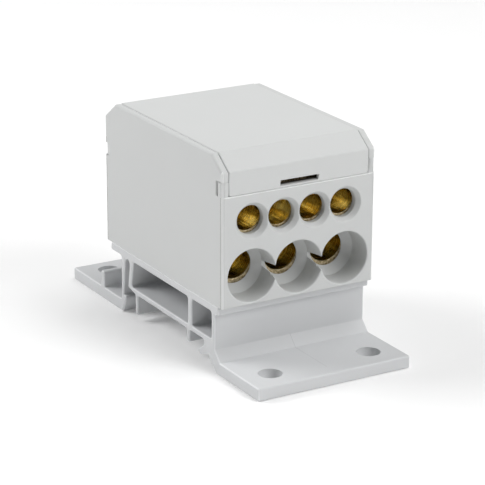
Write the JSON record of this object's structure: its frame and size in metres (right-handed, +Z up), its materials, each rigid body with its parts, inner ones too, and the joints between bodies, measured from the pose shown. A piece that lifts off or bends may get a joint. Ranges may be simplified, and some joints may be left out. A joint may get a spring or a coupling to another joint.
{
  "type": "power distribution block",
  "caption": "Power distribution block with a hinged cover, wire entries in two rows at both ends, a brass bar with clamping screws, and a base for rail or screw mounting.",
  "frame": {"origin": "middle of the footprint, on the plane under the feet", "axes": "+X along the mounting rail, +Y along the wires towards the hinge, +Z up"},
  "size_m": [0.036, 0.082, 0.0463],
  "materials": {
    "base_plastic": "fine satin",
    "housing_plastic": "fine satin",
    "brass": "machined",
    "screw_steel": "plated"
  },
  "bodies": {
    "block": {"base": "base_plastic", "housing": "housing_plastic", "bar": "brass"},
    "cover": {"cover": "housing_plastic"},
    "screw_top_front_1": {"screw_top_front_1": "screw_steel"},
    "screw_top_front_2": {"screw_top_front_2": "screw_steel"},
    "screw_top_front_3": {"screw_top_front_3": "screw_steel"},
    "screw_top_front_4": {"screw_top_front_4": "screw_steel"},
    "screw_top_rear_1": {"screw_top_rear_1": "screw_steel"},
    "screw_top_rear_2": {"screw_top_rear_2": "screw_steel"},
    "screw_top_rear_3": {"screw_top_rear_3": "screw_steel"},
    "screw_top_rear_4": {"screw_top_rear_4": "screw_steel"},
    "screw_low_front_1": {"screw_low_front_1": "screw_steel"},
    "screw_low_front_2": {"screw_low_front_2": "screw_steel"},
    "screw_low_front_3": {"screw_low_front_3": "screw_steel"},
    "screw_low_rear_1": {"screw_low_rear_1": "screw_steel"},
    "screw_low_rear_2": {"screw_low_rear_2": "screw_steel"},
    "screw_low_rear_3": {"screw_low_rear_3": "screw_steel"}
  },
  "joints": [
    {"name": "cover_hinge", "type": "hinge", "parent": "block", "child": "cover", "pos_m": [0, 0.0233, 0.03535], "axis": [-1, 0, 0], "range_deg": [0, 100]},
    {"name": "screw_top_front_1_travel", "type": "slide", "parent": "block", "child": "screw_top_front_1", "axis": [0, 0, 1], "range_m": [-0.005, 0]},
    {"name": "screw_top_front_2_travel", "type": "slide", "parent": "block", "child": "screw_top_front_2", "axis": [0, 0, 1], "range_m": [-0.005, 0]},
    {"name": "screw_top_front_3_travel", "type": "slide", "parent": "block", "child": "screw_top_front_3", "axis": [0, 0, 1], "range_m": [-0.005, 0]},
    {"name": "screw_top_front_4_travel", "type": "slide", "parent": "block", "child": "screw_top_front_4", "axis": [0, 0, 1], "range_m": [-0.005, 0]},
    {"name": "screw_top_rear_1_travel", "type": "slide", "parent": "block", "child": "screw_top_rear_1", "axis": [0, 0, 1], "range_m": [-0.005, 0]},
    {"name": "screw_top_rear_2_travel", "type": "slide", "parent": "block", "child": "screw_top_rear_2", "axis": [0, 0, 1], "range_m": [-0.005, 0]},
    {"name": "screw_top_rear_3_travel", "type": "slide", "parent": "block", "child": "screw_top_rear_3", "axis": [0, 0, 1], "range_m": [-0.005, 0]},
    {"name": "screw_top_rear_4_travel", "type": "slide", "parent": "block", "child": "screw_top_rear_4", "axis": [0, 0, 1], "range_m": [-0.005, 0]},
    {"name": "screw_low_front_1_travel", "type": "slide", "parent": "block", "child": "screw_low_front_1", "axis": [0, 0, 1], "range_m": [-0.0065, 0]},
    {"name": "screw_low_front_2_travel", "type": "slide", "parent": "block", "child": "screw_low_front_2", "axis": [0, 0, 1], "range_m": [-0.0065, 0]},
    {"name": "screw_low_front_3_travel", "type": "slide", "parent": "block", "child": "screw_low_front_3", "axis": [0, 0, 1], "range_m": [-0.0065, 0]},
    {"name": "screw_low_rear_1_travel", "type": "slide", "parent": "block", "child": "screw_low_rear_1", "axis": [0, 0, 1], "range_m": [-0.0065, 0]},
    {"name": "screw_low_rear_2_travel", "type": "slide", "parent": "block", "child": "screw_low_rear_2", "axis": [0, 0, 1], "range_m": [-0.0065, 0]},
    {"name": "screw_low_rear_3_travel", "type": "slide", "parent": "block", "child": "screw_low_rear_3", "axis": [0, 0, 1], "range_m": [-0.0065, 0]}
  ]
}
